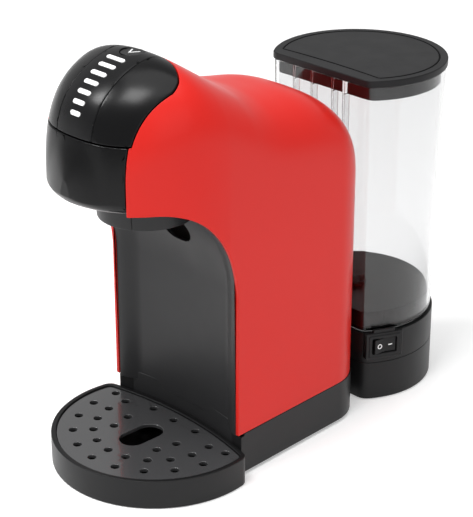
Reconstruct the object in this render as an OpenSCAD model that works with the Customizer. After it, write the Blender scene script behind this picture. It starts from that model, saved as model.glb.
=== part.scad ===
// Pod coffee machine: a moulded body with a pod drawer in its head, a drip tray in front and a
// lift-off water tank on a dock behind. Millimetres, front faces -Y, +Z is up, ground is z = 0.

/* [Body] */
// Wall thickness of the body shell and the head covers
wall = 3; // [2.6:0.2:3.2]
// Height of the crown's curved zone over the head
crown_head = 52; // [48:1:54]
// Height of the crown's curved zone over the column
crown_rear = 45; // [40:1:48]
// Top of the dark base under the shell
base_top = 33.5; // [33:0.1:34]

/* [Drip tray] */
// Height of the tray rim
rim_z = 21.6; // [21.2:0.2:23]
// Width of the flat rim around the grate
rim_w = 3.5; // [3:0.25:4]
// Diameter of the grate holes
hole_d = 5.9; // [5:0.1:6.5]
// Holes in each curved row
row_holes = 11; // [7:2:11]

/* [Water tank] */
// Outer radius of the tank wall at its top
tank_r_top = 62.5; // [61.5:0.25:62.5]
// Outer radius of the tank wall at its bottom
tank_r_low = 59.3; // [58.5:0.1:59.3]
// Thickness of the tank wall
tank_wall = 2.4; // [2:0.1:2.6]
// Thickness of the lid plate
lid_t = 5.2; // [4:0.2:6]

/* [Pod drawer] */
// Bore radius of the pod cup at its mouth
pod_r = 19.6; // [18.5:0.1:20.5]
// Bore radius of the spout
spout_r = 3; // [2:0.25:3.5]

/* [Switch] */
// Tilt of the rocker when it is off
rocker_tilt = 9; // [7:0.5:10]

/* [Hidden] */
$fn = 96;
gap = 0.3;            // clearance between parts that move apart
run = 0.05;           // radial clearance of a running fit
big = 400;

// Body plan: slanted sides, round rear corners, elliptical nose
side_x0 = 61.06;        // half width of the body at y = 0
side_k = 0.0549;        // how much each side closes in per millimetre of y
side_a = atan(side_k);
front_y = -77.5;        // front edge of the side walls
rear_y = 62;
corner_r = 34;
corner_y = rear_y - corner_r;
nose_a = 65.7;          // half width, half length and centre of the nose's ellipse
nose_b = 82.4;
nose_y = -85.9;
tip_y = nose_y - nose_b;
mid_y = (tip_y + rear_y) / 2;
body_len = rear_y - tip_y;
arc_r = 283;            // curve shared by the tray's back and the column's front
arc_y = -350.4;
// Head
head_z = 210;           // underside of the head
seam_z = 255.6;         // seam between the drawer front and the top covers
seam_w = 0.7;
drawer_x = 40;          // half width of the drawer's opening
drawer_y = -104;        // rear end of the drawer's opening
drawer_end = -104.5;
arch_z = 135;           // where the column starts to arch forward into the head
arch_y = -138.5;
arch_b = head_z - arch_z;
brew_y = -100.3;        // axis of the spout and the brew head
button_y = -109;
// Tray
tray_r = 75.5;
tray_y = -94.4;
tray_c = 8;
// Tank, lid and dock; their plans are circles about one axis with a flat side
tank_y = 106.2;
tank_z = 55.8;
tank_top = 247.2;
flat_y = 67.6;          // flat side at the dock and at the foot of the tank
flat_top = 64.5;        // flat side at the top of the tank
corner_c = 9;
lid_r = 63.7;
lid_flat = 63.6;
dock_r = 61;
dock_top = 55.4;
dock_split = 31;        // parting line of the dock's two halves
// Rocker pivot: height, direction and distance from the tank's axis
sw_z = 46;
sw_a = -25;
sw_n = 61.5;

// ---- the body's outer form -------------------------------------------------------------------
// Height of the middle of the top, from the nose to the rear wall
top_profile = [[-168.3, 226], [-166, 237], [-163, 247], [-160, 255], [-158, 268], [-154, 277],
  [-149, 283], [-143, 288], [-137, 292.5], [-130, 296], [-123, 299], [-115, 301.3], [-108, 302.2],
  [-100, 300.3], [-88.5, 293.4], [-75.5, 285], [-62, 276.3], [-48.5, 268.2], [-34, 262.6], [-14, 258.9],
  [0, 257], [9, 255], [18, 252], [36, 243], [54, 229.5], [58, 220], [60, 205], [61, 160], [62, 60]];
stations = [-168, -166, -163, -160, -158, -154, -149, -143, -137, -130, -123, -115, -108, -100,
  -88.5, -75.5, -62, -48.5, -34, -14, 9, 18, 28, 36, 45, 50, 54, 58, 60, 61, 62];
function half_side(y) = side_x0 - side_k * y;
function half_nose(y) = nose_a * sqrt(max(0, 1 - pow((y - nose_y) / nose_b, 2)));
function half_rear(y) = half_side(y) - corner_r + sqrt(pow(corner_r, 2) - pow(y - corner_y, 2));
function half_w(y) = y < nose_y ? half_nose(y) : y < corner_y ? half_side(y) : half_rear(y);
function crown_h(y) = lookup(y, [[-120, crown_head], [-60, crown_rear]]);
function crown_n(y) = lookup(y, [[-120, 2.3], [-60, 2.6]]);
function inset_y(y, i) = mid_y + (y - mid_y) * (body_len - 2 * i) / body_len;
function spow(v, p) = sign(v) * pow(abs(v), p);
arc_steps = 16;
// One cross-section: straight sides under a crown that rounds off into them
function ring(y, i) = let (w = max(half_w(y) - i, 0.6), t = lookup(y, top_profile) - i,
    h = min(crown_h(y), t - base_top - 1), p = 2 / crown_n(y), ya = inset_y(y, i))
  concat([for (k = [0 : arc_steps]) let (a = 180 * k / arc_steps)
      [w * spow(cos(a), p), ya, t - h + h * pow(max(sin(a), 0), p)]],
    [[-w, ya, base_top], [w, ya, base_top]]);
module slab(a, b) {
  n = len(a);
  front = [for (j = [0 : n - 1]) j];
  rear = [for (j = [n - 1 : -1 : 0]) n + j];
  skin = [for (j = [0 : n - 1]) let (m = (j + 1) % n) [j, n + j, n + m, m]];
  hull() polyhedron(points = concat(a, b), faces = concat([front], [rear], skin));
}
module form(i, last = len(stations) - 1) for (k = [0 : last - 1])
  slab(ring(stations[k], i), ring(stations[k + 1], i));
last_top = 15;        // the head covers only need the form's front stations

// ---- shared outlines -------------------------------------------------------------------------
module both() { children(); mirror([1, 0, 0]) children(); }
function on_arc(c, r, a) = c + r * [cos(a), sin(a)];
function arc(c, r, a0, a1, n) = [for (k = [0 : n]) on_arc(c, r, a0 + (a1 - a0) * k / n)];
function inner_arc(c, r, a0, a1, n) = [for (k = [1 : n - 1]) on_arc(c, r, a0 + (a1 - a0) * k / n)];
module body_plan(i) {
  r = corner_r - i;
  cx = half_side(corner_y) - corner_r / cos(side_a);
  xf = half_side(front_y) - i / cos(side_a);
  polygon(concat([[xf, front_y]], arc([cx, corner_y], r, side_a, 90, 12),
    arc([-cx, corner_y], r, 90, 180 - side_a, 12), [[-xf, front_y]]));
}
module head_plan(i) {
  back_y = -60;
  polygon(concat([for (a = [0 : 7.5 : 180]) [(nose_a - i) * cos(a), nose_y - (nose_b - i) * sin(a)]],
    [[i - half_side(back_y), back_y], [half_side(back_y) - i, back_y]]));
}
module behind_arc(e) difference() {
  translate([-big / 2, -big / 2]) square([big, big]);
  translate([0, arc_y]) circle(arc_r + gap + e, $fn = 360);
}
// D-shaped plan: a circle cut by a curved back, with round corners
module tray_plan(i) {
  cy = (pow(arc_r - tray_c, 2) - pow(tray_r - tray_c, 2) + tray_y * tray_y - arc_y * arc_y)
    / (2 * (tray_y - arc_y));
  cx = sqrt(pow(tray_r - tray_c, 2) - pow(cy - tray_y, 2));
  front_a = atan2(cy - tray_y, cx);
  back_a = atan2(cy - arc_y, cx);
  polygon(concat(arc([cx, cy], tray_c - i, front_a, back_a, 8),
    inner_arc([0, arc_y], arc_r - i, back_a, 180 - back_a, 20),
    arc([-cx, cy], tray_c - i, 180 - back_a, 180 - front_a, 8),
    inner_arc([0, tray_y], tray_r - i, 180 - front_a, 360 + front_a, 48)));
}
// Circle about the tank's axis with one flat side towards the body and round corners
module flat_plan(r, y, c) {
  cy = y + c;
  cx = sqrt(pow(r - c, 2) - pow(cy - tank_y, 2));
  side = atan2(cy - tank_y, cx);
  polygon(concat(arc([cx, cy], c, -90, side, 8), inner_arc([0, tank_y], r, side, 180 - side, 56),
    arc([-cx, cy], c, 180 - side, 270, 8)));
}
// Plan of the black top: rounded at the rear, grown by g
module top_plan(g) {
  wide = drawer_x + 0.5 + g;
  rear = [0, -169.5];                      // centre of the rounded rear edge
  rear_r = 75 + g;
  side_r = 12 + g;
  reach = rear_r - side_r;
  px = 34.3;
  py = rear[1] + sqrt(pow(reach, 2) - px * px);
  turn = atan2(py - rear[1], px);
  polygon(concat([[wide, tip_y - 5], [wide, -148]], arc([px, py], side_r, 0, turn, 8),
    inner_arc(rear, rear_r, turn, 180 - turn, 20), arc([-px, py], side_r, 180 - turn, 180, 8),
    [[-wide, -148], [-wide, tip_y - 5]]));
}
module along_x(w) translate([-w / 2, 0, 0]) rotate([90, 0, 90]) linear_extrude(w) children();
// Region above and behind the arch under the head: a is the arch's half length, e moves it inwards
module arch_region(a, e) polygon(concat(
  [for (t = [0 : 5 : 90]) [arch_y + (a + e) * cos(t), arch_z + (arch_b + e) * sin(t)]],
  [[-230, head_z + e], [-230, 330], [90, 330], [90, arch_z]]));

// ---- head, column and base -------------------------------------------------------------------
module body_shell() color([0.81, 0.12, 0.1]) difference() {
  form(0);
  form(wall);
  translate([-big / 2, -230, base_top - 1]) cube([big, big, 1.01]);
  along_x(big) polygon(concat([[front_y, 0]],
    [for (t = [0 : 5 : 90]) [arch_y + (front_y - arch_y) * cos(t), arch_z + arch_b * sin(t)]],
    [[-230, head_z], [-230, 0]]));
  translate([-drawer_x - 0.2, -230, 0]) cube([2 * drawer_x + 0.4, 130, seam_z + seam_w]);
  translate([0, 0, seam_z]) linear_extrude(80) top_plan(seam_w);
}
module cover_region(e) {
  translate([0, 0, 20]) linear_extrude(220) behind_arc(e);
  along_x(big) arch_region(71.3, e);
}
module column_cover() color([0.24, 0.24, 0.25]) difference() {
  intersection() {
    cover_region(0);
    union() {
      translate([0, 0, 31.7]) linear_extrude(head_z - 31.7) body_plan(wall + 0.3);
      translate([0, 0, 150]) linear_extrude(head_z + 3 - 150) head_plan(wall + 1.4);
    }
  }
  cover_region(3);
  translate([-53.2, -90, 0]) cube([106.4, 40, 38]);
  translate([-drawer_x, -230, 190]) cube([2 * drawer_x, drawer_y + 230, 60]);
  translate([0, brew_y, 150]) cylinder(r = 12, h = 80);
  translate([0, -90, 171]) rotate([-90, 0, 0]) linear_extrude(40) union() {
    square([6, 24], center = true);
    both() translate([3, 0]) circle(12);
  }
}
module front_apron() color([0.2, 0.2, 0.21]) translate([0, 0, 5.5]) linear_extrude(32.3) intersection() {
  difference() { behind_arc(0); behind_arc(3); }
  translate([-53, -90]) square([106, 60]);
}
base_posts = [[44, -45], [38, 35]];
module at_posts() both() for (p = base_posts) translate(p) children();
module base_frame() color([0.2, 0.2, 0.21]) difference() {
  union() {
    difference() {
      translate([0, 0, 2.5]) linear_extrude(base_top - 2.5) intersection() {
        body_plan(0);
        behind_arc(0);
      }
      translate([0, 0, 5.5]) linear_extrude(base_top) intersection() {
        body_plan(wall);
        behind_arc(3);
      }
    }
    at_posts() translate([0, 0, 5.5]) cylinder(r = 5, h = base_top - 5.5);
  }
  translate([0, 0, 5.5]) linear_extrude(40) intersection() {
    difference() { behind_arc(-5); behind_arc(3); }
    translate([-53.1, -90]) square([106.2, 60]);
  }
  translate([0, 0, 31.5]) linear_extrude(10) difference() { behind_arc(-5); behind_arc(3); }
  at_posts() {
    cylinder(r = 4, h = 5);
    cylinder(r = 1.65, h = 60);
  }
  translate([0, 70, 11]) rotate([90, 0, 0]) cylinder(r = 4.5, h = 20);
}
module base_screws() color([0.7, 0.7, 0.72]) at_posts() difference() {
  union() {
    translate([0, 0, 2.7]) cylinder(r = 3.6, h = 2.3);
    translate([0, 0, 5]) cylinder(r = 1.6, h = 31);
  }
  translate([0, 0, 2]) cylinder(r = 1.5, h = 2);
}
module rubber_feet() color([0.08, 0.08, 0.08]) {
  both() translate([48, -56, 0]) cylinder(r = 7, h = 2.5);
  both() translate([36, 48, 0]) cylinder(r = 7, h = 2.5);
  both() translate([30, 136, 0]) cylinder(r = 7, h = 2);
}
// The top cover between two x limits
module top_piece(x0, x1) intersection() {
  difference() { form(0, last_top); form(wall, last_top); }
  translate([0, 0, seam_z + seam_w]) linear_extrude(80) intersection() {
    top_plan(0);
    translate([x0, tip_y - 6]) square([x1 - x0, 120]);
  }
}
strip_x = 16.8;
module head_cheek_right() color([0.04, 0.04, 0.045]) top_piece(strip_x + 0.2, 60);
module head_cheek_left() color([0.04, 0.04, 0.045]) top_piece(-60, -strip_x - 0.2);
bar_y = [-156.8, -153.7, -149, -143.1, -137, -130, -122.8];
function bar_len(k) = 9.4 + 1.24 * k;
function slope(y) = atan((lookup(y + 1.5, top_profile) - lookup(y - 1.5, top_profile)) / 3);
module bars(g) for (k = [0 : 6]) translate([0, bar_y[k], lookup(bar_y[k], top_profile)])
  rotate([slope(bar_y[k]), 0, 0]) {
    translate([0, 0, -1.2 - g]) linear_extrude(1.5 + g) {
      square([bar_len(k) - 3 + g, 3.2 + 2 * g], center = true);
      both() translate([bar_len(k) / 2 - 1.6, 0]) circle(1.6 + g, $fn = 24);
    }
  }
module display_bars() color([0.95, 0.95, 0.95]) bars(0);
module head_strip() color([0.06, 0.06, 0.065]) difference() {
  top_piece(-strip_x, strip_x);
  bars(0.05);
  translate([0, button_y, 280]) cylinder(r = 8.3, h = 40);
}
button_z = 300.6;
module power_button() color([0.1, 0.1, 0.11]) translate([0, button_y, 0]) {
  translate([0, 0, 295]) cylinder(r = 8, h = button_z - 295);
  translate([0, 0, 292]) cylinder(r = 9.6, h = 3);
}
module button_icon() color([0.95, 0.95, 0.95]) translate([0, button_y, button_z]) linear_extrude(0.25)
  both() polygon([[0, -3.6], [4.2, 3.3], [3.2, 3.3], [0, -1.9]]);
module button_dome() color([0.5, 0.5, 0.5]) translate([0, button_y, 284]) difference() {
  cylinder(r1 = 6, r2 = 4, h = 8 - 0.02);
  translate([0, 0, -1]) cylinder(r1 = 5.2, r2 = 3, h = 8);
}

// ---- spout shroud and pod drawer -------------------------------------------------------------
shroud_r = 34.2;
shroud_z = 187.5;
slot_x = 18;            // half width of the shroud's moving front part
module shroud_ring(h) translate([0, brew_y, shroud_z]) difference() {
  cylinder(r1 = shroud_r - 1, r2 = shroud_r, h = h);
  translate([0, 0, -1]) cylinder(r = shroud_r - 3.2, h = 40);
}
module shroud_rear() color([0.2, 0.2, 0.21]) difference() {
  shroud_ring(head_z - shroud_z);
  translate([-slot_x, -180, 150]) cube([2 * slot_x, 180 + brew_y, 80]);
  translate([-60, -180, head_z - 0.4]) cube([120, 180 + drawer_y, 10]);
  cover_region(-run);
}
module shroud_front() color([0.2, 0.2, 0.21]) intersection() {
  shroud_ring(head_z - shroud_z);
  translate([gap - slot_x, -180, 150]) cube([2 * (slot_x - gap), 60, 80]);
}
face_x = drawer_x - gap - 0.1;
nose_r = 13;            // rounding under the nose
module drawer_front() color([0.04, 0.04, 0.045]) intersection() {
  union() {
    difference() {
      form(0, last_top);
      form(wall, last_top);
      translate([-100, drawer_end + 0.01, 0]) cube([200, 120, 310]);
    }
    intersection() {
      form(0, last_top);
      translate([-60, -180, 0]) cube([120, drawer_end + 180, head_z + 3]);
    }
  }
  translate([-face_x, -180, head_z]) cube([2 * face_x, drawer_end + 180, seam_z - gap - head_z]);
  along_x(100) union() {
    translate([tip_y + nose_r, head_z]) square([80, 60]);
    translate([tip_y - 2, head_z + nose_r]) square([40, 60]);
    translate([tip_y + nose_r, head_z + nose_r]) circle(nose_r);
  }
  difference() {
    translate([-100, -180, 150]) cube([200, 100, 120]);
    translate([0, brew_y, 150]) cylinder(r = 6 + run, h = 80);
  }
}
cup_low = 216;          // foot of the pod cup
plate_z = 246;          // underside of the plate round the cup
module pod_holder() color([0.12, 0.12, 0.13]) difference() {
  union() {
    translate([-34, -150, plate_z]) cube([68, 74, 4]);
    both() translate([30, -150, head_z + 3]) cube([3, 45, plate_z - head_z - 3]);
    translate([0, brew_y, cup_low]) cylinder(r = pod_r + 3.4, h = plate_z - cup_low);
  }
  translate([0, brew_y, cup_low + 6]) cylinder(r1 = pod_r - 4.6, r2 = pod_r, h = 29);
  translate([0, brew_y, plate_z + 2.8]) cylinder(r = pod_r + 1.6, h = 2);
  translate([0, brew_y, cup_low - 1]) cylinder(r = spout_r + 1, h = 10);
}
module spout_nozzle() color([0.12, 0.12, 0.13]) translate([0, brew_y, 0]) difference() {
  union() {
    translate([0, 0, 213.4]) cylinder(r = 9, h = cup_low - 213.4);
    translate([0, 0, 191]) cylinder(r = 6, h = 24);
  }
  translate([0, 0, 180]) cylinder(r = spout_r, h = 60);
}

// ---- drip tray -------------------------------------------------------------------------------
tray_low = 0.4;
ledge_z = 17.4;         // ledge that carries the grate
grate_t = 2.8;
module drip_tray() color([0.22, 0.22, 0.23]) difference() {
  translate([0, 0, tray_low]) linear_extrude(rim_z - tray_low) tray_plan(0);
  translate([0, 0, tray_low + 3]) linear_extrude(40) tray_plan(rim_w + 3);
  translate([0, 0, ledge_z]) linear_extrude(40) tray_plan(rim_w);
}
module slot_plan(len, w) {
  square([w, len - w], center = true);
  for (s = [-1, 1]) translate([0, s * (len - w) / 2]) circle(w / 2);
}
module drip_grate() color([0.18, 0.18, 0.19]) difference() {
  union() {
    translate([0, 0, ledge_z + gap]) linear_extrude(grate_t) tray_plan(rim_w + 0.4);
    for (y = [-135, -85]) translate([-35, y, ledge_z + gap - 6]) cube([70, 2, 6]);
  }
  translate([0, 0, -1]) linear_extrude(40) {
    for (r = [60, 45.5]) for (k = [0 : row_holes - 1]) let (a = -90 + 20 * (k - (row_holes - 1) / 2))
      translate([r * cos(a), tray_y + r * sin(a)]) circle(hole_d / 2, $fn = 32);
    both() for (p = [[23, -115.5], [26.2, -100.1], [22.4, -78.9]]) translate(p)
      circle(hole_d / 2, $fn = 32);
    translate([0, -79.4]) circle(hole_d / 2, $fn = 32);
    translate([0, -109.8]) slot_plan(34.6, 19.2);
  }
}

// ---- parts inside the body -------------------------------------------------------------------
module inner_frame() color([0.75, 0.75, 0.76]) difference() {
  union() {
    translate([0, 0, base_top]) linear_extrude(3) intersection() {
      body_plan(wall + 4);
      behind_arc(8);
    }
    translate([-36, -48, base_top]) cube([72, 3, 256.5 - base_top]);
    translate([-30, -125, 256.5]) cube([60, 80, 3]);
    both() translate([26, -62, 236]) cube([3, 15, 21]);
    both() translate([32, 41.8, base_top]) cube([4, 5, 138]);
  }
  at_posts() cylinder(r = 1.62, h = 60);
  translate([meter.x, meter.y, 0]) cylinder(r = 4.5, h = 60);
  translate([0, brew_y, 240]) cylinder(r = 19.3, h = 40);
  translate([15, -40, 230]) rotate([90, 0, 0]) cylinder(r = 4.2, h = 12);
  translate([15, -62, 240]) cylinder(r = 4.2, h = 40);
}
pump_x = -24;
pump_y = 8;
floor_z = base_top + 3; // top of the inner floor
meter = [28, 26];       // flow meter's axis
pipe_z = 42;            // height of the pump's inlet hose
pipe_y = 30;
module pump_bracket() color([0.72, 0.73, 0.74]) translate([pump_x, pump_y, 0]) difference() {
  translate([-22, -16, floor_z]) cube([44, 32, 16.5]);
  translate([-20.5, -20, floor_z - 1]) cube([41, 40, 16]);
  cylinder(r = 8.5, h = 80);
}
module pump_mounts() color([0.1, 0.1, 0.1]) translate([pump_x, pump_y, floor_z + 16.5]) difference() {
  cylinder(r = 15, h = 5);
  translate([0, 0, -1]) cylinder(r = 7.4, h = 8);
}
module pump() color([0.55, 0.55, 0.57]) translate([pump_x, pump_y, 0]) {
  translate([0, 0, 48]) cylinder(r = 7, h = 11);
  translate([0, 0, 58]) cylinder(r = 13, h = 6);
  translate([-19, -19, 64]) cube([38, 38, 48]);
  translate([0, 0, 112]) cylinder(r = 11, h = 12);
  translate([0, 0, 124]) cylinder(r = 5, h = 16);
  translate([0, 0, 140]) cylinder(r = 3.5, h = 10);
}
module thermoblock() color([0.7, 0.71, 0.72]) {
  translate([-32, -45, 105]) cube([64, 28, 85]);
  both() translate([24, -31, 98]) cylinder(r = 4, h = 7);
  for (z = [120 : 14 : 176]) translate([-34, -43, z]) cube([68, 24, 3]);
}
module flow_meter() color([0.9, 0.9, 0.88]) translate([meter.x, meter.y, floor_z]) {
  cylinder(r = 15, h = 12);
  translate([0, 0, 12]) cylinder(r = 12, h = 4);
}
module control_board() color([0.1, 0.4, 0.2]) {
  translate([-38, 40.2, 90]) cube([76, 1.6, 80]);
  translate([-30, 29, 100]) cube([20, 11.2, 26]);
  translate([4, 26, 98]) cube([24, 14.2, 18]);
  for (x = [-24, -8]) translate([x, 40.2, 146]) rotate([90, 0, 0]) cylinder(r = 6, h = 16);
  for (x = [8, 20]) translate([x, 30, 136]) cube([9, 10.2, 14]);
}
module brew_head() color([0.3, 0.3, 0.32]) translate([0, brew_y, 0]) {
  translate([0, 0, 256.8]) cylinder(r = 19, h = 3);
  translate([0, 0, 259.5]) cylinder(r = 24, h = 12.5);
  translate([0, button_y - brew_y, 272]) cylinder(r = 6.4, h = 12);
}
// Hose through a list of points: straight tubes with ball elbows
module hose(p, r) {
  for (k = [0 : len(p) - 2]) let (d = p[k + 1] - p[k]) translate(p[k])
    rotate(d.x != 0 ? [0, sign(d.x) * 90, 0]
      : d.y != 0 ? [-sign(d.y) * 90, 0, 0] : [d.z < 0 ? 180 : 0, 0, 0])
      cylinder(r = r, h = norm(d), $fn = 48);
  for (k = [1 : len(p) - 2])
    let (back = p[k - 1] - p[k], on = p[k + 1] - p[k], sum = back / norm(back) + on / norm(on))
      translate(p[k]) rotate([0, 0, atan2(-sum.y, -sum.x)]) sphere(r = r + 0.2, $fn = 48);
}
module feed_hose() color([0.85, 0.87, 0.88])
  hose([[0, tank_y, 14.5], [0, tank_y, 11], [0, meter.y, 11], [meter.x, meter.y, 11],
    [meter.x, meter.y, floor_z]], 3.2);
module pump_hose() color([0.85, 0.87, 0.88])
  hose([[pump_x, pump_y, 48], [pump_x, pump_y, pipe_z], [pump_x, pipe_y, pipe_z], [13, pipe_y, pipe_z]], 3);
module hot_hose() color([0.9, 0.9, 0.9]) {
  hose([[pump_x, pump_y, 150], [pump_x, pump_y, 165], [pump_x, -17, 165]], 3);
  hose([[15, -31, 190], [15, -31, 230], [15, -62, 230], [15, -62, 265], [15, -79.2, 265]], 3);
}

// ---- dock under the tank ---------------------------------------------------------------------
module at_switch() translate([0, tank_y, sw_z]) rotate([0, 0, sw_a]) children();
module dock_lower() color([0.1, 0.1, 0.105]) difference() {
  translate([0, 0, 0.6]) linear_extrude(dock_split - 0.6) flat_plan(dock_r, flat_y, 10);
  translate([0, 0, 3.6]) linear_extrude(40) flat_plan(dock_r - 3, flat_y + 3, 7);
  both() translate([30, 136, 0]) cylinder(r = 7, h = 2);
  translate([0, flat_y + 10, 11]) rotate([90, 0, 0]) cylinder(r = 4.5, h = 20);
  translate([0, tank_y + dock_r - 10, 11]) rotate([-90, 0, 0]) cylinder(r = 5.6, h = 20);
}
module dock_upper() color([0.1, 0.1, 0.105]) difference() {
  translate([0, 0, dock_split]) linear_extrude(dock_top - dock_split) flat_plan(dock_r, flat_y, 10);
  translate([0, 0, dock_split - 1]) linear_extrude(dock_top - dock_split - 2)
    flat_plan(dock_r - 3, flat_y + 3, 7);
  translate([0, tank_y, 40]) cylinder(r = 9.6, h = 20);
  at_switch() translate([50, -14.5, -10.5]) cube([40, 29, 40]);
}
module dock_inlet() color([0.15, 0.15, 0.16]) translate([0, tank_y, 0]) difference() {
  union() {
    translate([0, 0, 14.5]) cylinder(r = 4, h = 34);
    translate([0, 0, 46]) cylinder(r = 9.5, h = 9.2);
    translate([0, 0, 49.4]) cylinder(r = 14, h = 3);
  }
  translate([0, 0, 49.5]) cylinder(r = 6.3, h = 10);
  translate([0, 0, 10]) cylinder(r = 2, h = 50);
}
module dock_bridge() color([0.1, 0.1, 0.105]) difference() {
  translate([-22, rear_y, 3.6]) cube([44, flat_y - rear_y, 14.4]);
  translate([0, 80, 11]) rotate([90, 0, 0]) cylinder(r = 3.6, h = 30);
}
module cord_gland() color([0.06, 0.06, 0.06])
  translate([0, tank_y + dock_r, 11]) rotate([-90, 0, 0]) difference() {
  union() {
    translate([0, 0, -5]) cylinder(r = 5.4, h = 6);
    cylinder(r = 7.5, h = 2.2);
  }
  translate([0, 0, -6]) cylinder(r = 3.2, h = 20);
}
boss_n = 63.5;          // face of the switch boss, from the tank's axis
module switch_housing() color([0.07, 0.07, 0.075]) difference() {
  at_switch() difference() {
    union() {
      translate([50.2, -14.4, -10.4]) cube([boss_n - 50.2, 28.8, 20.9]);
      translate([boss_n - 1, -12.2, -8.7]) cube([1.7, 24.4, 17.4]);
      translate([50.2, -8.5, 10]) cube([boss_n - 51, 17, 3]);
      for (y = [-8, 0, 8]) translate([43, y - 0.4, -3]) cube([8, 0.8, 6]);
    }
    translate([54.2, -9.7, -6.15]) cube([20, 19.4, 12.3]);
    translate([sw_n, 0, -8]) cylinder(r = 1.2 + run, h = 16, $fn = 48);
  }
  translate([0, tank_y, dock_top - 0.2]) cylinder(r = 60.2, h = 20);
}
module rocker() color([0.05, 0.05, 0.05]) at_switch() translate([sw_n, 0, 0]) rotate([0, 0, rocker_tilt]) {
  translate([0, 0, -5.85]) linear_extrude(11.7)
    polygon([[3, 8.9], [1.5, 0], [3, -8.9], [-2, -9], [-6, -3], [-6, 3], [-2, 9]]);
  translate([0, 0, -7.6]) cylinder(r = 1.2, h = 15.2, $fn = 48);
}

// ---- water tank ------------------------------------------------------------------------------
// Tapered round body with a leaning flat side and round corners; i is the inset of the wall
module tank_solid(i, z0, z1) hull() {
  translate([0, 0, z0]) linear_extrude(0.1) flat_plan(tank_r_low - i, flat_y + i, corner_c - i);
  translate([0, 0, z1 - 0.1]) linear_extrude(0.1) flat_plan(tank_r_top - i, flat_top + i, corner_c - i);
}
rib_x = [-28, -10, 10.5, 21.5];
rib_low = 192;
skirt_low = 237;        // lower edge of the lid's skirt
floor_top = 71.5;       // top of the dark floor inside the tank
module tank_body() color([0.85, 0.88, 0.9, 0.3]) difference() {
  union() {
    difference() {
      tank_solid(0, tank_z, tank_top);
      tank_solid(tank_wall, tank_z + 2.4, tank_top + 1);
    }
    for (x = rib_x) translate([x - 1.1, flat_top + 2, rib_low]) {
      cube([2.2, 6.5, skirt_low - 0.5 - rib_low]);
      cube([2.2, 1.6, tank_top - 0.2 - rib_low]);
    }
  }
  translate([0, tank_y, 40]) cylinder(r = 6.1, h = 30);
}
module tank_floor() color([0.15, 0.15, 0.16]) difference() {
  low = tank_z + 2.4;
  r = tank_r_low - tank_wall;
  y = flat_y + tank_wall;
  translate([0, 0, low]) linear_extrude(floor_top - low) flat_plan(r - 0.1, y + 0.1, 6.4);
  translate([0, 0, low - 1]) linear_extrude(floor_top - low - 1) flat_plan(r - 3, y + 3, 4);
  translate([0, tank_y, 50]) cylinder(r = 7.6, h = 30);
}
module tank_valve() color([0.25, 0.25, 0.27]) translate([0, tank_y, 0]) difference() {
  union() {
    translate([0, 0, 50]) cylinder(r = 5.9, h = 9);
    translate([0, 0, tank_z + 2.4]) cylinder(r = 7.4, h = floor_top - tank_z - 2);
    translate([0, 0, floor_top]) cylinder(r = 9.5, h = 3);
    translate([0, 0, floor_top + 3]) cylinder(r1 = 8, r2 = 6.5, h = 4);
  }
  translate([0, 0, 40]) cylinder(r = 2.2, h = 30);
  translate([0, 0, 52.4]) difference() {
    cylinder(r = 8, h = 1.2);
    cylinder(r = 5.2, h = 1.2);
  }
}
module tank_seal() color([0.05, 0.05, 0.05]) translate([0, tank_y, 53]) rotate_extrude($fn = 64)
  translate([5.65, 0]) circle(0.45, $fn = 24);
skirt_r = 59.2;
skirt_flat = 68.4;
module tank_lid() color([0.22, 0.22, 0.23]) {
  low = tank_top + 0.4;
  translate([0, 0, low]) linear_extrude(lid_t) flat_plan(lid_r, lid_flat, 9);
  translate([0, 0, skirt_low]) linear_extrude(low - skirt_low) difference() {
    flat_plan(skirt_r, skirt_flat, 8);
    flat_plan(skirt_r - 2, skirt_flat + 2, 6);
    translate([19.5, skirt_flat - 1]) square([4, 8]);
  }
}

base_frame();
rubber_feet();
body_shell();
column_cover();
front_apron();
head_strip();
head_cheek_left();
head_cheek_right();
display_bars();
shroud_rear();
inner_frame();
pump();
pump_bracket();
pump_mounts();
thermoblock();
flow_meter();
control_board();
brew_head();
feed_hose();
pump_hose();
hot_hose();
dock_lower();
dock_upper();
dock_inlet();
dock_bridge();
switch_housing();
cord_gland();
base_screws();
drawer_front();
pod_holder();
spout_nozzle();
shroud_front();
drip_tray();
drip_grate();
tank_body();
tank_floor();
tank_valve();
tank_seal();
tank_lid();
rocker();
power_button();
button_icon();
button_dome();
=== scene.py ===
"""Pod coffee machine: smooth shells, real edges and procedural materials around the CAD frame."""
import math

import bmesh
import bpy
import numpy as np
from mathutils import Matrix, Vector


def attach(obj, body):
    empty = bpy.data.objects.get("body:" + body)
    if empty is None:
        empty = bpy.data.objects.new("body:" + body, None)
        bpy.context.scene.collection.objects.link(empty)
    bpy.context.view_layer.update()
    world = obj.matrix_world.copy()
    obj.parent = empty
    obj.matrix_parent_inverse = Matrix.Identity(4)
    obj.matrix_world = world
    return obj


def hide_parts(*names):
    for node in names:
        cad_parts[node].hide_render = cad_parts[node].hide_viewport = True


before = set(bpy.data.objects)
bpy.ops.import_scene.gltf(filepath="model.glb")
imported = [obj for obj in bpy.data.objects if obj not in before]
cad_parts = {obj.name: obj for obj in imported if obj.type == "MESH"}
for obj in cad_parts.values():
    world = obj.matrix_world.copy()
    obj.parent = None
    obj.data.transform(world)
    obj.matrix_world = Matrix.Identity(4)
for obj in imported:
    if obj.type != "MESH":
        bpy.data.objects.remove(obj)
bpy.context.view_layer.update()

MM = 0.001

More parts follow.
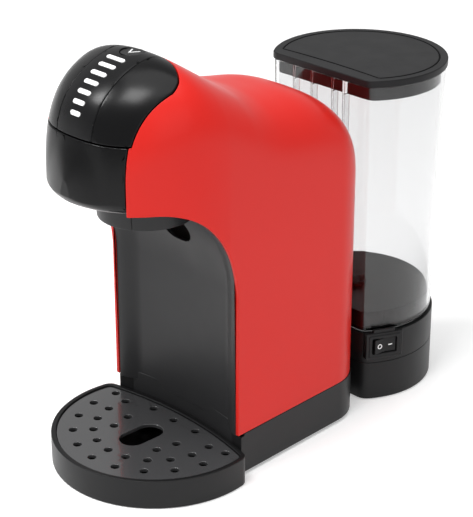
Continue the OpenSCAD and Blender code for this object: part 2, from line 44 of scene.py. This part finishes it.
# ---- driving dimensions of the form, in millimetres, as in the CAD source ---------------------
WALL = 3.0
SIDE_X0, SIDE_K = 61.06, 0.0549    # half width at y = 0, and how much it closes in per mm of y
REAR_Y, CORNER_R = 62.0, 34.0
CORNER_Y = REAR_Y - CORNER_R
NOSE_A, NOSE_B, NOSE_Y = 65.7, 82.4, -85.9    # half axes and centre of the nose's ellipse
TIP_Y = NOSE_Y - NOSE_B
MID_Y = (TIP_Y + REAR_Y) / 2
BODY_LEN = REAR_Y - TIP_Y
FRONT_Y = -77.5                    # front edge of the side walls
ARC_R, ARC_Y = 283.0, -350.4       # curve of the column's front
BASE_TOP, HEAD_Z = 33.5, 210.0
SEAM_Z, SEAM_W = 255.6, 0.7        # seam between the drawer front and the top covers
ARCH_Z, ARCH_Y = 135.0, -138.5     # where the column starts to arch forward into the head
CROWN_Y = (-120, -60)              # the crown changes between these two places
CROWN_HIGH, CROWN_POWER = (52, 45), (2.3, 2.6)
HEAD_END = -90.0                   # rear end of the head's covers
DRAWER_X = 40.0                    # half width of the drawer's opening
DRAWER_Y, DRAWER_END = -104.0, -104.5    # rear ends of its opening in the cover and of its face
STRIP_X = 16.8
BUTTON_Y, BUTTON_HOLE = -109.0, 8.4
BREW_Y, SPOUT_HOLE = -100.3, 12.0  # axis of the spout and the brew head, and the cover's hole
TOP_PROFILE = [
    (-168.3, 226), (-166, 237), (-163, 247), (-160, 255), (-158, 268), (-154, 277), (-149, 283),
    (-143, 288), (-137, 292.5), (-130, 296), (-123, 299), (-115, 301.3), (-108, 302.2),
    (-100, 300.3), (-88.5, 293.4), (-75.5, 285), (-62, 276.3), (-48.5, 268.2), (-34, 262.6),
    (-14, 258.9), (0, 257), (9, 255), (18, 252), (36, 243), (54, 229.5), (58, 220), (60, 205),
    (61, 160), (62, 60),
]
TANK_Y = 106.2                     # axis of the tank, its lid and the dock
TANK_LOW, TANK_HIGH, TANK_WALL = 55.8, 247.2, 2.4
VALVE_HOLE = 6.1
TANK_R_LOW, TANK_R_TOP = 59.3, 62.5
FLAT_LOW, FLAT_TOP = 67.6, 64.5    # flat side at the foot and at the top of the tank
PLAN_C = 9.0                       # corners of the tank's plan
LID_LOW, LID_HIGH, LID_R, LID_FLAT = 247.6, 252.8, 63.7, 63.6
SKIRT_LOW, SKIRT_R, SKIRT_FLAT, SKIRT_T = 237.0, 59.2, 68.4, 2.0
RIB_X, RIB_LOW = (-28, -10, 10.5, 21.5), 192.0
RIB_BACK, RIB_BACK_LOW = 68.1, 73.0    # rear faces of a rib, beside the skirt and below it
SWITCH_Z, SWITCH_A, SWITCH_N, ROCKER_TILT = 46.0, -25.0, 61.5, 9.0
FAR, ABOVE = 230.0, 400.0          # places beside and above the machine that cutters reach to
FIT = 0.3                          # clearance between covers
EDGE_ANGLE = 38                    # an edge sharper than this is rounded


# ---- small mesh helpers ------------------------------------------------------------------------
def make(name, verts, faces):
    """A new object from vertices in millimetres."""
    mesh = bpy.data.meshes.new(name)
    mesh.from_pydata([tuple(c * MM for c in v) for v in verts], [], faces)
    bm = bmesh.new()
    bm.from_mesh(mesh)
    bmesh.ops.recalc_face_normals(bm, faces=bm.faces)
    bm.to_mesh(mesh)
    bm.free()
    obj = bpy.data.objects.new(name, mesh)
    bpy.context.scene.collection.objects.link(obj)
    return obj


def loft(name, rings):
    """Closed rings of equal length joined into a skin, with a flat cap at each end."""
    n = len(rings[0])
    verts = [v for r in rings for v in r]
    faces = []
    for k in range(len(rings) - 1):
        for j in range(n):
            a, b = k * n + j, k * n + (j + 1) % n
            faces.append((a, b, b + n, a + n))
    faces.append(tuple(range(n)))
    faces.append(tuple(range(len(verts) - n, len(verts))))
    return make(name, verts, faces)


def prism(name, outline, low, high, axis="z"):
    """An outline pushed along an axis: x takes (y, z) points, y takes (x, z), z takes (x, y)."""
    place = {
        "x": lambda p, h: (h, p[0], p[1]),
        "y": lambda p, h: (p[0], h, p[1]),
        "z": lambda p, h: (p[0], p[1], h),
    }[axis]
    return loft(name, [[place(p, h) for p in outline] for h in (low, high)])


def block(name, low, high):
    """A plain box, used only as a cutter."""
    outline = [(low[0], low[1]), (high[0], low[1]), (high[0], high[1]), (low[0], high[1])]
    return prism(name, outline, low[2], high[2])


def settle(obj):
    """Applies the modifiers."""
    graph = bpy.context.evaluated_depsgraph_get()
    mesh = bpy.data.meshes.new_from_object(obj.evaluated_get(graph))
    obj.modifiers.clear()
    obj.data = mesh


def carve(obj, cutter, operation="DIFFERENCE"):
    """Boolean with a cutter that is then thrown away."""
    cut = obj.modifiers.new("carve", "BOOLEAN")
    cut.operation = operation
    cut.solver = "MANIFOLD"
    cut.object = cutter
    settle(obj)
    bpy.data.objects.remove(cutter)
    return obj


def tidy_mesh(obj, reach=0.08):
    """Joins the slivers that a cut leaves; reach in millimetres."""
    bm = bmesh.new()
    bm.from_mesh(obj.data)
    bmesh.ops.remove_doubles(bm, verts=bm.verts, dist=reach * MM)
    bmesh.ops.dissolve_degenerate(bm, edges=bm.edges, dist=reach * MM)
    bm.to_mesh(obj.data)
    bm.free()


def edges(obj, width, segments=3):
    """Rounded edges with smooth shading; width in millimetres."""
    for poly in obj.data.polygons:
        poly.use_smooth = True
    bevel = obj.modifiers.new("edge", "BEVEL")
    bevel.width = width * MM
    bevel.segments = segments
    bevel.limit_method = "ANGLE"
    bevel.angle_limit = math.radians(EDGE_ANGLE)
    bevel.use_clamp_overlap = False
    bevel.miter_outer = "MITER_ARC"
    normals = obj.modifiers.new("normals", "WEIGHTED_NORMAL")
    normals.weight = 90
    return obj


def finish_cad(node, width, material):
    """A CAD node that stays: its edges are rounded by modifiers and it gets a material."""
    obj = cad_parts[node]
    for attribute in ("custom_normal", "sharp_edge", "sharp_face"):
        if attribute in obj.data.attributes:
            obj.data.attributes.remove(obj.data.attributes[attribute])
    weld = obj.modifiers.new("weld", "WELD")
    weld.merge_threshold = 0.01 * MM
    edges(obj, width, segments=2)
    return paint(obj, material)


def paint(obj, material):
    """Gives the object this one material."""
    obj.data.materials.clear()
    obj.data.materials.append(material)
    return obj


def piece(obj, body, material, slot, *nodes):
    """Finishes a new piece: material, the body it rides on and the CAD nodes it replaces. The slot
    argument is not used.
    """
    paint(obj, material)
    if nodes:
        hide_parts(*nodes)
    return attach(obj, body)


# ---- outlines ----------------------------------------------------------------------------------
def arc(cx, cy, r, a0, a1, n, open_ends=False):
    """Points on an arc, angles in degrees."""
    ks = range(1, n) if open_ends else range(n + 1)
    out = []
    for k in ks:
        a = math.radians(a0 + (a1 - a0) * k / n)
        out.append((cx + r * math.cos(a), cy + r * math.sin(a)))
    return out


def circle(cx, cy, r, n):
    """Closed outline of a circle with n sides."""
    return arc(cx, cy, r, 0, 360, n)[:-1]


def flat_plan(r, y, c):
    """Circle about the tank's axis with a flat side at y and corners of radius c."""
    cy = y + c
    cx = math.sqrt((r - c) ** 2 - (cy - TANK_Y) ** 2)
    side = math.degrees(math.atan2(cy - TANK_Y, cx))
    return (
        arc(cx, cy, c, -90, side, 12)
        + arc(0, TANK_Y, r, side, 180 - side, 96, True)
        + arc(-cx, cy, c, 180 - side, 270, 12)
    )


def top_plan(g):
    """Outline of the black top, rounded at the rear and grown by g."""
    wide, front, shoulder = DRAWER_X + 0.5 + g, TIP_Y - 5, -148.0
    rear_y, rear_r, side_r = -169.5, 75.0, 12.0
    px = 34.3
    py = rear_y + math.sqrt((rear_r - side_r) ** 2 - px**2)
    turn = math.degrees(math.atan2(py - rear_y, px))
    return (
        [(wide, front), (wide, shoulder)]
        + arc(px, py, side_r + g, 0, turn, 12)
        + arc(0, rear_y, rear_r + g, turn, 180 - turn, 32, True)
        + arc(-px, py, side_r + g, 180 - turn, 180, 12)
        + [(-wide, shoulder), (-wide, front)]
    )


def arch_line(n=40):
    """The arch from the side walls' front up to the underside of the head, as (y, z) points."""
    return [
        (ARCH_Y + (FRONT_Y - ARCH_Y) * math.cos(math.radians(90 * k / n)),
         ARCH_Z + (HEAD_Z - ARCH_Z) * math.sin(math.radians(90 * k / n)))
        for k in range(n + 1)
    ]


# ---- the body's outer form ---------------------------------------------------------------------
def smooth_line(points, samples=900, spread=9):
    """The profile through the points, eased along its length, as two arrays (y, z)."""
    p = np.array(points, float)
    along = np.concatenate([[0], np.cumsum(np.hypot(*np.diff(p, axis=0).T))])
    fine = np.linspace(0, along[-1], samples)
    y, z = np.interp(fine, along, p[:, 0]), np.interp(fine, along, p[:, 1])
    weights = np.exp(-0.5 * (np.arange(-3 * spread, 3 * spread + 1) / spread) ** 2)
    weights /= weights.sum()
    pad = 3 * spread

    def ease(v):
        head = 2 * v[0] - v[pad:0:-1]
        tail = 2 * v[-1] - v[-2:-pad - 2:-1]
        return np.convolve(np.concatenate([head, v, tail]), weights, "valid")

    return ease(y), ease(z)


TOP_Y, TOP_Z = smooth_line(TOP_PROFILE)


def top_z(y):
    """Height of the middle of the top."""
    return float(np.interp(y, TOP_Y, TOP_Z))


def half_width(y):
    """Half width of the body: elliptical nose, slanted sides, round rear corners."""
    if y < NOSE_Y:
        return NOSE_A * math.sqrt(max(0.0, 1 - ((y - NOSE_Y) / NOSE_B) ** 2))
    side = SIDE_X0 - SIDE_K * y
    if y <= CORNER_Y:
        return side
    return side - CORNER_R + math.sqrt(max(0.0, CORNER_R**2 - (y - CORNER_Y) ** 2))


def section(y, inset, steps=56):
    """One cross-section: straight sides under a crown that rounds off into them."""
    w = max(half_width(y) - inset, 0.5)
    t = top_z(y) - inset
    h = min(np.interp(y, CROWN_Y, CROWN_HIGH), t - BASE_TOP - 1)
    power = 2 / np.interp(y, CROWN_Y, CROWN_POWER)
    place = MID_Y + (y - MID_Y) * (BODY_LEN - 2 * inset) / BODY_LEN
    ring = []
    for k in range(steps + 1):
        a = math.pi * k / steps
        c, s = math.cos(a), max(math.sin(a), 0.0)
        ring.append((w * math.copysign(abs(c) ** power, c), place, t - h + h * s**power))
    return ring + [(-w, place, BASE_TOP), (w, place, BASE_TOP)]


def stations(last):
    """Places of the cross-sections from the nose to last, closer where the plan curves."""
    nose = [NOSE_Y - NOSE_B * math.cos(math.radians(a)) for a in np.linspace(5, 90, 46)]
    body = list(np.linspace(NOSE_Y, CORNER_Y, 44))[1:]
    rear = [CORNER_Y + CORNER_R * math.sin(math.radians(a)) for a in np.linspace(0, 90, 22)][1:]
    return [y for y in nose + body + rear if y <= last + 1e-6]


def form(name, inset, last=REAR_Y):
    """The body's solid form from the nose to last, set in by inset."""
    return loft(name, [section(y, inset) for y in stations(last)])


def shell(name, last=REAR_Y):
    """The form made hollow, with walls of the shell's thickness."""
    return carve(form(name, 0, last), form("inner", WALL, last))


# ---- materials ---------------------------------------------------------------------------------
def plastic(name, color, rough, grain=1.0, bump=0.05, vary=0.06, tone=0.04,
            coat=0.0, ior=1.5, spec=0.3):
    """Moulded plastic: fine surface grain in the bump, uneven roughness and a faint tone drift."""
    mat = bpy.data.materials.new(name)
    mat.use_nodes = True
    nodes, links = mat.node_tree.nodes, mat.node_tree.links
    shader = nodes["Principled BSDF"]
    shader.inputs["IOR"].default_value = ior
    shader.inputs["Specular IOR Level"].default_value = spec
    shader.inputs["Coat Weight"].default_value = coat
    shader.inputs["Coat Roughness"].default_value = 0.03
    place = nodes.new("ShaderNodeTexCoord")

    def noise(scale, detail):
        tex = nodes.new("ShaderNodeTexNoise")
        tex.inputs["Scale"].default_value = scale
        tex.inputs["Detail"].default_value = detail
        links.new(place.outputs["Object"], tex.inputs["Vector"])
        return tex.outputs["Fac"]

    def spread(source, low, high):
        rng = nodes.new("ShaderNodeMapRange")
        rng.inputs["To Min"].default_value = low
        rng.inputs["To Max"].default_value = high
        links.new(source, rng.inputs["Value"])
        return rng.outputs["Result"]

    drift = nodes.new("ShaderNodeMix")
    drift.data_type = "RGBA"
    drift.inputs["A"].default_value = (*[c * (1 - tone) for c in color], 1)
    drift.inputs["B"].default_value = (*[min(1, c * (1 + tone)) for c in color], 1)
    links.new(noise(14, 2), drift.inputs["Factor"])
    links.new(drift.outputs["Result"], shader.inputs["Base Color"])
    links.new(spread(noise(60, 4), max(rough - vary, 0.01), rough + vary), shader.inputs["Roughness"])
    if bump:
        relief = nodes.new("ShaderNodeBump")
        relief.inputs["Strength"].default_value = bump
        relief.inputs["Distance"].default_value = 0.0002
        links.new(noise(1400 / grain, 3), relief.inputs["Height"])
        links.new(relief.outputs["Normal"], shader.inputs["Normal"])
    return mat


def metal(name, color, rough, stretch=(1, 1, 1), grain=400, bump=0.1):
    """Cast or drawn metal: the grain is in the bump, and stretch draws it out into brush marks."""
    mat = plastic(name, color, rough, bump=0)
    nodes, links = mat.node_tree.nodes, mat.node_tree.links
    shader = nodes["Principled BSDF"]
    shader.inputs["Metallic"].default_value = 1.0
    place = nodes.new("ShaderNodeTexCoord")
    mapping = nodes.new("ShaderNodeMapping")
    mapping.inputs["Scale"].default_value = stretch
    tex = nodes.new("ShaderNodeTexNoise")
    tex.inputs["Scale"].default_value = grain
    relief = nodes.new("ShaderNodeBump")
    relief.inputs["Strength"].default_value = bump
    relief.inputs["Distance"].default_value = 0.0003
    links.new(place.outputs["Object"], mapping.inputs["Vector"])
    links.new(mapping.outputs["Vector"], tex.inputs["Vector"])
    links.new(tex.outputs["Fac"], relief.inputs["Height"])
    links.new(relief.outputs["Normal"], shader.inputs["Normal"])
    return mat


def clear(name, color, rough):
    """Clear plastic with a faint ripple."""
    mat = plastic(name, color, rough, grain=60, bump=0.002, vary=0.004, tone=0.0, ior=1.4, spec=0.5)
    shader = mat.node_tree.nodes["Principled BSDF"]
    shader.inputs["Transmission Weight"].default_value = 1.0
    return mat


RED = plastic("red_gloss", (0.60, 0.018, 0.013), 0.30, grain=8, bump=0.006, vary=0.015,
              tone=0.02, ior=1.26, spec=0.5)
BLACK = plastic("black_gloss", (0.0025, 0.0025, 0.0028), 0.25, grain=8, bump=0.008, vary=0.02, spec=0.2)
BLACK_STRIP = plastic("black_strip", (0.005, 0.005, 0.0055), 0.28, grain=4, bump=0.02,
                      vary=0.03, spec=0.22)
GREY = plastic("grey_satin", (0.0165, 0.0165, 0.0175), 0.42, grain=1.2, bump=0.08, spec=0.28)
DARK = plastic("black_satin", (0.0085, 0.0085, 0.009), 0.38, grain=1.2, bump=0.08, spec=0.24)
GRATE = plastic("grate_grey", (0.050, 0.050, 0.052), 0.22, grain=1.5, bump=0.03, vary=0.03,
                spec=0.8, coat=0.6)
APRON = plastic("black_satin_apron", (0.017, 0.017, 0.018), 0.42, grain=1.2, bump=0.08, spec=0.26)
LID = plastic("lid_grey", (0.0095, 0.0095, 0.0103), 0.42, grain=1.2, bump=0.08, spec=0.2)
HOLDER = plastic("holder_black", (0.012, 0.012, 0.012), 0.5, bump=0.12)
WHITE = plastic("white_print", (0.88, 0.88, 0.88), 0.4, bump=0.03)
FRAME_GREY = plastic("frame_grey", (0.35, 0.35, 0.36), 0.55, bump=0.12)
RUBBER = plastic("rubber_black", (0.012, 0.012, 0.012), 0.8, grain=2, bump=0.25)
SILICONE = plastic("hose_silicone", (0.7, 0.72, 0.74), 0.45, bump=0.06)
BOARD = plastic("board_green", (0.02, 0.16, 0.06), 0.35, grain=3, bump=0.1, tone=0.2)
METER = plastic("meter_white", (0.75, 0.75, 0.72), 0.4, bump=0.06)
CAST = metal("cast_block", (0.6, 0.61, 0.62), 0.5, grain=300, bump=0.35)
STEEL = metal("bracket_steel", (0.6, 0.6, 0.6), 0.3, stretch=(1, 12, 1), grain=160)
PUMP = metal("pump_steel", (0.45, 0.46, 0.48), 0.4, grain=260, bump=0.2)
CLEAR = clear("clear_tank", (0.82, 0.822, 0.825), 0.012)


# ---- head, column and base ---------------------------------------------------------------------
red = shell("red_shell")
carve(red, block("cut", (-FAR, -FAR, BASE_TOP - 2), (FAR, FAR, BASE_TOP + 0.01)))
under_head = [(FRONT_Y, 0.0)] + arch_line() + [(-FAR, HEAD_Z), (-FAR, 0.0)]
carve(red, prism("cut", under_head, -FAR, FAR, "x"))
open_x, open_y = DRAWER_X + 0.2, -100
carve(red, block("cut", (-open_x, -FAR, 0), (open_x, open_y, SEAM_Z + SEAM_W)))
carve(red, prism("cut", top_plan(SEAM_W), SEAM_Z, ABOVE))
tidy_mesh(red)
edges(red, 0.5)
piece(red, "machine", RED, "red_shell", "body_shell")


def top_piece(name, x0, x1):
    """The part of the black top between two x limits."""
    part = shell(name, HEAD_END)
    carve(part, prism("cut", top_plan(0), SEAM_Z + SEAM_W, ABOVE), "INTERSECT")
    carve(part, block("cut", (x0, -FAR, HEAD_Z), (x1, 0, ABOVE)), "INTERSECT")
    return part


for side, name in ((1, "head_cheek_right"), (-1, "head_cheek_left")):
    low, high = sorted((side * (STRIP_X + 0.25), side * NOSE_A))
    cheek = top_piece("skin_" + name, low, high)
    tidy_mesh(cheek)
    edges(cheek, 0.6)
    piece(cheek, "machine", BLACK, "gloss_black", name)

strip = top_piece("skin_head_strip", -STRIP_X, STRIP_X)
carve(strip, prism("cut", circle(0, BUTTON_Y, BUTTON_HOLE, 64), HEAD_Z, ABOVE))
tidy_mesh(strip)
edges(strip, 0.5)
piece(strip, "machine", BLACK_STRIP, "gloss_black", "head_strip")


def round_nose(name, reach, high, turns=16, around=96):
    """The head's plan pushed up, its low edge rounded most at the tip and least at the sides."""
    proud, back_y = 0.5, -60.0
    rings = []
    for k in range(turns + 1):
        a = math.radians(90 * k / turns)
        rings.append((reach * (1 - math.sin(a)), HEAD_Z + reach * (1 - math.cos(a))))
    rings.append((0.0, high))
    out = []
    for inset, z in rings:
        ring = []
        for k in range(around + 1):
            a = math.radians(180 * k / around)
            ease = 1 - 0.75 * math.cos(a) ** 2
            ring.append((
                (NOSE_A + proud - inset * ease) * math.cos(a),
                NOSE_Y - (NOSE_B + proud - inset * ease) * math.sin(a),
                z,
            ))
        out.append(ring + [(-NOSE_A, back_y, z), (NOSE_A, back_y, z)])
    return loft(name, out)


face = shell("skin_drawer_front", HEAD_END)
low_plate = carve(form("plate", 0, HEAD_END), block("cut", (-FAR, DRAWER_END, 0), (FAR, FAR, ABOVE)))
carve(low_plate, block("cut", (-FAR, -FAR, HEAD_Z), (FAR, 0, HEAD_Z + WALL)), "INTERSECT")
carve(face, low_plate, "UNION")
face_x, face_top, face_round = DRAWER_X - 0.4, SEAM_Z - FIT, 12
carve(face, round_nose("cut", face_round, face_top), "INTERSECT")
carve(face, block("cut", (-face_x, -FAR, HEAD_Z), (face_x, DRAWER_END, face_top)), "INTERSECT")
tidy_mesh(face)
edges(face, 0.8)
piece(face, "pod_drawer", BLACK, "gloss_black", "drawer_front")


# ---- column cover: one sheet that sweeps from the apron up into the arch ----------------------
COVER_LOW, COVER_T = 31.8, 2.8
COVER_SET = 0.6          # how far its edges stand behind the side walls' front
COVER_HALF = 54.0        # half width over which it follows the column's arc
FLUSH_FROM = 0.72        # part of the half width where it starts to turn forward to the walls


def cover_point(u, t, e):
    """Point of the cover's front face: u runs across, t up and then along the arch, e inwards."""
    low = t <= 1
    angle = 0.0 if low else math.radians(90 * (t - 1))
    wall_y = FRONT_Y + COVER_SET
    edge_y = ARCH_Y + (wall_y - ARCH_Y) * math.cos(angle)
    x = (half_width(edge_y) - WALL - FIT / 2) * u
    rise = min(max((abs(u) - FLUSH_FROM) / (1 - FLUSH_FROM), 0.0), 1.0)
    flush = rise * rise * (3 - 2 * rise)
    sweep = ARC_Y + math.sqrt(ARC_R**2 - (COVER_HALF * u) ** 2)
    front = sweep + (wall_y - sweep) * flush
    y = ARCH_Y + (front - ARCH_Y + e) * math.cos(angle)
    if low:
        return (x, y, COVER_LOW + (ARCH_Z - COVER_LOW) * t)
    return (x, y, ARCH_Z + (HEAD_Z - 0.4 - ARCH_Z + e) * math.sin(angle))


def cover_sheet(name, thick):
    """The cover as closed cross-sections from its low edge to the underside of the head."""
    across = [-1 + 2 * k / 60 for k in range(61)]
    up = [k / 12 for k in range(13)] + [1 + k / 48 for k in range(1, 49)]
    return loft(name, [
        [cover_point(u, t, 0) for u in across] + [cover_point(u, t, thick) for u in reversed(across)]
        for t in up
    ])


cover = cover_sheet("skin_column_cover", COVER_T)
arch_mid = (ARCH_Z + HEAD_Z) / 2
carve(cover, block("cut", (-DRAWER_X, -FAR, arch_mid), (DRAWER_X, DRAWER_Y, SEAM_Z)))
carve(cover, prism("cut", circle(0, BREW_Y, SPOUT_HOLE, 64), arch_mid, SEAM_Z))
slot_x, slot_z, slot_r = 3, 171, 12
slot = arc(slot_x, slot_z, slot_r, -90, 90, 24) + arc(-slot_x, slot_z, slot_r, 90, 270, 24)
carve(cover, prism("cut", slot, -92, -40, "y"))
tidy_mesh(cover)
edges(cover, 0.5)
piece(cover, "machine", GREY, "satin_grey", "column_cover")


# ---- tank, lid and the marks on the switch -----------------------------------------------------
def tank_rings(inset, low, high, round_r):
    """Rings of the leaning tank wall, its low edge rounded."""
    levels = []
    for degrees in (90, 72, 54, 36, 18, 0):
        a = math.radians(degrees)
        levels.append((low + round_r * (1 - math.sin(a)), round_r * (1 - math.cos(a))))
    levels += [(low + (high - low) * k / 8, 0.0) for k in range(1, 9)]
    rings = []
    for z, bend in levels:
        k = (z - TANK_LOW) / (TANK_HIGH - TANK_LOW)
        r = TANK_R_LOW + (TANK_R_TOP - TANK_R_LOW) * k - inset - bend
        y = FLAT_LOW + (FLAT_TOP - FLAT_LOW) * k + inset + bend
        rings.append([(p[0], p[1], z) for p in flat_plan(r, y, max(PLAN_C - inset - bend, 2.0))])
    return rings


def rib(x, half, front, back, low, high):
    """An upright rib on the flat side, half wide on each side of x and narrower at its back."""
    thin = 0.7
    plan = [(x - half, front), (x + half, front), (x + thin, back), (x - thin, back)]
    return prism("rib", plan, low, high)


tank = loft("skin_tank_body", tank_rings(0, TANK_LOW, TANK_HIGH, 2.5))
carve(tank, loft("cut", tank_rings(TANK_WALL, TANK_LOW + TANK_WALL, TANK_HIGH + 1, 2.0)))
for x in RIB_X:
    carve(tank, rib(x, 1.1, FLAT_TOP + 1.4, RIB_BACK, RIB_LOW, TANK_HIGH - 0.2), "UNION")
    carve(tank, rib(x, 1.0, FLAT_TOP + 1.8, RIB_BACK_LOW, RIB_LOW + 1, SKIRT_LOW - 0.5), "UNION")
carve(tank, prism("cut", circle(0, TANK_Y, VALVE_HOLE, 48), TANK_LOW - 10, TANK_LOW + 10))
tidy_mesh(tank, 0.03)
edges(tank, 0.4)
piece(tank, "water_tank", CLEAR, "clear_tank", "tank_body")


def lid_line(g, n=40):
    """Outline of the fine groove on the lid: a circle closed by a shallow arc on the flat side."""
    groove_r, bow_y = 57.4, 76.0
    ends = arc(0, TANK_Y, groove_r + g, -34, 214, 120)
    x0, y0 = ends[-1]
    flat = []
    for k in range(1, n):
        u = -1 + 2 * k / n
        flat.append((-x0 * u, y0 + (bow_y - g - y0) * (1 - u * u)))
    return ends + flat


groove_half, groove_deep = 0.3, 0.45
notch_x, notch_y = (19.5, 23.5), (67.0, 76.0)
lid = prism("skin_tank_lid", flat_plan(LID_R, LID_FLAT, PLAN_C), LID_LOW, LID_HIGH)
groove = prism("cut", lid_line(groove_half), LID_HIGH - groove_deep, LID_HIGH + 2)
carve(groove, prism("cut", lid_line(-groove_half), HEAD_Z, ABOVE))
carve(lid, groove)
skirt = prism("skirt", flat_plan(SKIRT_R, SKIRT_FLAT, 8), SKIRT_LOW, LID_LOW + 1)
carve(skirt, prism("cut", flat_plan(SKIRT_R - SKIRT_T, SKIRT_FLAT + SKIRT_T, 6), HEAD_Z, LID_LOW))
carve(skirt, block("cut", (notch_x[0], notch_y[0], HEAD_Z), (notch_x[1], notch_y[1], LID_LOW)))
carve(lid, skirt, "UNION")
tidy_mesh(lid)
edges(lid, 0.7)
piece(lid, "lid", LID, "lid_grey", "tank_lid")


def on_rocker(points, low, high, name):
    """A mark on the rocker's face; points are (across, up) and low, high its depth."""
    mark = prism(name, points, low, high, "x")
    tilt = Matrix.Rotation(math.radians(ROCKER_TILT), 4, "Z")
    turn = Matrix.Rotation(math.radians(SWITCH_A), 4, "Z")
    place = Matrix.Translation((0, TANK_Y * MM, SWITCH_Z * MM)) @ turn
    mark.data.transform(place @ Matrix.Translation((SWITCH_N * MM, 0, 0)) @ tilt)
    return mark


MARK_AT, MARK_IN = 4.6, 1.6                # how far the marks are from the pivot, and their foot
MARK_FACE = 1.5 + 1.5 * MARK_AT / 8.9      # height of the rocker's hollow face there
RING_OUT, RING_IN = 1.9, 1.35
RING_TOP, BAR_TOP = MARK_FACE + 0.45, MARK_FACE + 0.3
mark_o = on_rocker(circle(-MARK_AT, 0, RING_OUT, 40), MARK_IN, RING_TOP, "mark_off")
carve(mark_o, on_rocker(circle(-MARK_AT, 0, RING_IN, 40), 1.0, 6.0, "cut"))
piece(mark_o, "switch_rocker", WHITE, "white_print")
bar_x0, bar_x1, bar_z = 2.9, 6.1, 0.35
bar = [(bar_x0, -bar_z), (bar_x1, -bar_z), (bar_x1, bar_z), (bar_x0, bar_z)]
mark_i = on_rocker(bar, MARK_IN, BAR_TOP, "mark_on")
piece(mark_i, "switch_rocker", WHITE, "white_print")


# ---- edge radius and material of the CAD nodes that stay --------------------------------------
for node, width, material in (
    ("base_frame", 0.5, DARK), ("front_apron", 0.5, APRON),
    ("shroud_rear", 0.6, GREY), ("shroud_front", 0.6, GREY), ("pod_holder", 0.5, HOLDER),
    ("spout_nozzle", 0.4, HOLDER), ("drip_tray", 0.6, DARK), ("drip_grate", 0.4, GRATE),
    ("dock_lower", 0.6, DARK), ("dock_upper", 0.5, DARK), ("dock_inlet", 0.3, HOLDER),
    ("dock_bridge", 0.5, DARK), ("switch_housing", 0.6, DARK), ("rocker", 0.5, BLACK_STRIP),
    ("cord_gland", 0.4, RUBBER), ("rubber_feet", 0.5, RUBBER), ("base_screws", 0.2, STEEL),
    ("tank_floor", 0.4, DARK), ("tank_valve", 0.4, HOLDER), ("tank_seal", 0.05, RUBBER),
    ("power_button", 0.5, BLACK_STRIP),
    ("button_dome", 0.2, SILICONE), ("inner_frame", 0.3, FRAME_GREY), ("pump", 0.5, PUMP),
    ("pump_bracket", 0.3, STEEL), ("pump_mounts", 0.6, RUBBER), ("thermoblock", 0.8, CAST),
    ("flow_meter", 0.6, METER), ("control_board", 0.2, BOARD), ("brew_head", 0.6, HOLDER),
    ("feed_hose", 0.1, SILICONE), ("pump_hose", 0.1, SILICONE), ("hot_hose", 0.1, SILICONE),
    ("display_bars", 0.2, WHITE), ("button_icon", 0.05, WHITE),
):
    finish_cad(node, width, material)


# ---- floor, light and camera -------------------------------------------------------------------
def studio():
    """Pale floor, white world and four soft lamps."""
    bpy.ops.mesh.primitive_plane_add(size=8, location=(0, 0, 0))
    floor = bpy.context.active_object
    floor.name = "floor"
    white = plastic("floor_white", (0.86, 0.86, 0.86), 0.6, bump=0.0, tone=0.0)
    glow = white.node_tree.nodes["Principled BSDF"].inputs
    glow["Emission Color"].default_value = (1, 1, 1, 1)
    glow["Emission Strength"].default_value = 0.3
    paint(floor, white)
    world = bpy.data.worlds.new("studio")
    bpy.context.scene.world = world
    world.use_nodes = True
    world.node_tree.nodes["Background"].inputs["Color"].default_value = (1, 1, 1, 1)
    world.node_tree.nodes["Background"].inputs["Strength"].default_value = 0.52

    def area(name, place, aim, size, power):
        data = bpy.data.lights.new(name, "AREA")
        data.shape = "RECTANGLE"
        data.size, data.size_y = size
        data.energy = power
        lamp = bpy.data.objects.new(name, data)
        bpy.context.scene.collection.objects.link(lamp)
        lamp.location = place
        lamp.rotation_euler = (Vector(aim) - Vector(place)).to_track_quat("-Z", "Y").to_euler()

    area("top_softbox", (0.1, -0.1, 1.6), (0, 0, 0.15), (1.2, 1.2), 9)
    area("right_softbox", (1.5, -0.5, 0.9), (0, 0, 0.15), (1.0, 1.2), 3)
    area("left_key", (-0.8, -1.1, 1.65), (0, -0.05, 0.25), (0.4, 0.4), 16)
    area("front_key", (0.15, -0.75, 1.75), (0, -0.05, 0.25), (0.55, 0.55), 13)
    scene = bpy.context.scene
    scene.view_settings.view_transform = "Standard"
    scene.view_settings.look = "None"


def camera():
    """A long lens above the front right corner."""
    data = bpy.data.cameras.new("camera")
    data.lens = 119.85
    cam = bpy.data.objects.new("camera", data)
    bpy.context.scene.collection.objects.link(cam)
    azimuth, elevation, distance = math.radians(46.61), math.radians(24.2), 1.15
    back = Vector((
        math.sin(azimuth) * math.cos(elevation),
        -math.cos(azimuth) * math.cos(elevation),
        math.sin(elevation),
    ))
    aim = Vector((0.0495, -0.0645, 0.1585))
    cam.location = aim + back * distance
    cam.rotation_euler = (-back).to_track_quat("-Z", "Y").to_euler()
    bpy.context.scene.camera = cam


studio()
camera()
